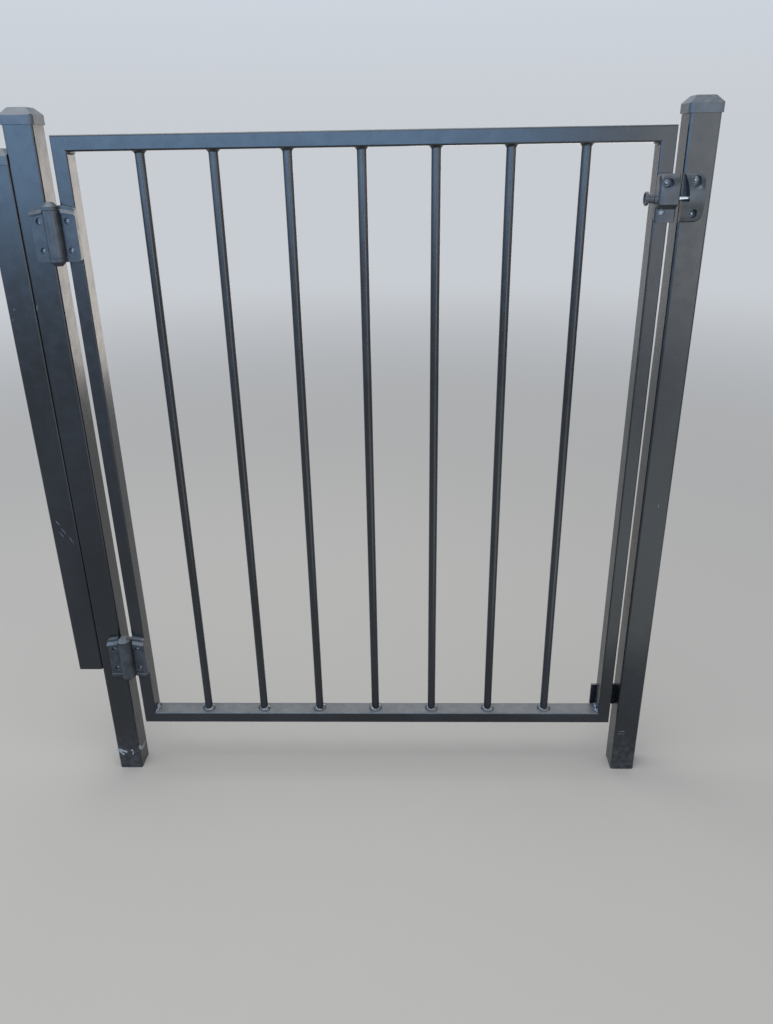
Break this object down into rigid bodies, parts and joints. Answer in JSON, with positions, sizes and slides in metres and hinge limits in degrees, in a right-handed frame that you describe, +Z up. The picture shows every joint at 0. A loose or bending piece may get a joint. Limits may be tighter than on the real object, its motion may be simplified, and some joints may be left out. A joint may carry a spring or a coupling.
{
  "type": "side gate",
  "caption": "Single leaf side gate of black painted steel box section with round upright bars, hung between square posts on moulded hinges, with a side pull latch.",
  "frame": {"origin": "middle of the hinge post's flat foot, at the lowest ground level", "axes": "+X from the hinge post to the latch post, +Z up, and the face with hinges and latch looks along -Y"},
  "size_m": [1.2028, 0.0803, 1.338],
  "materials": {
    "black_paint": "gloss black paint on steel box section and bar",
    "moulded_caps": "black moulded caps with a slight sheen",
    "black_fittings": "satin black glass filled moulding",
    "zinc_steel": "bright zinc plated steel"
  },
  "bodies": {
    "posts": {"hinge_post": "black_paint", "hinge_post_cap": "moulded_caps", "side_post": "black_paint", "side_post_cap": "moulded_caps", "latch_post": "black_paint", "latch_post_cap": "moulded_caps", "gate_stop": "black_paint", "upper_hinge_post_leaf": "black_fittings", "upper_hinge_pin": "zinc_steel", "lower_hinge_post_leaf": "black_fittings", "lower_hinge_pin": "zinc_steel", "latch_keeper": "black_fittings"},
    "leaf": {"hinge_stile": "black_paint", "latch_stile": "black_paint", "top_rail": "black_paint", "bottom_rail": "black_paint", "bar_1": "black_paint", "bar_2": "black_paint", "bar_3": "black_paint", "bar_4": "black_paint", "bar_5": "black_paint", "bar_6": "black_paint", "bar_7": "black_paint", "upper_hinge_gate_leaf": "black_fittings", "lower_hinge_gate_leaf": "black_fittings", "latch_case": "black_fittings"},
    "latch_pull": {"latch_pin": "zinc_steel", "latch_knob": "black_fittings"}
  },
  "joints": [
    {"name": "gate_swing", "type": "hinge", "parent": "posts", "child": "leaf", "pos_m": [0.037, -0.039, 0.7], "axis": [0, 0, -1], "range_deg": [0, 90]},
    {"name": "latch_draw", "type": "slide", "parent": "leaf", "child": "latch_pull", "axis": [-1, 0, 0], "range_m": [0, 0.016], "stiffness_N_per_m": 300, "springref_m": -0.01}
  ]
}
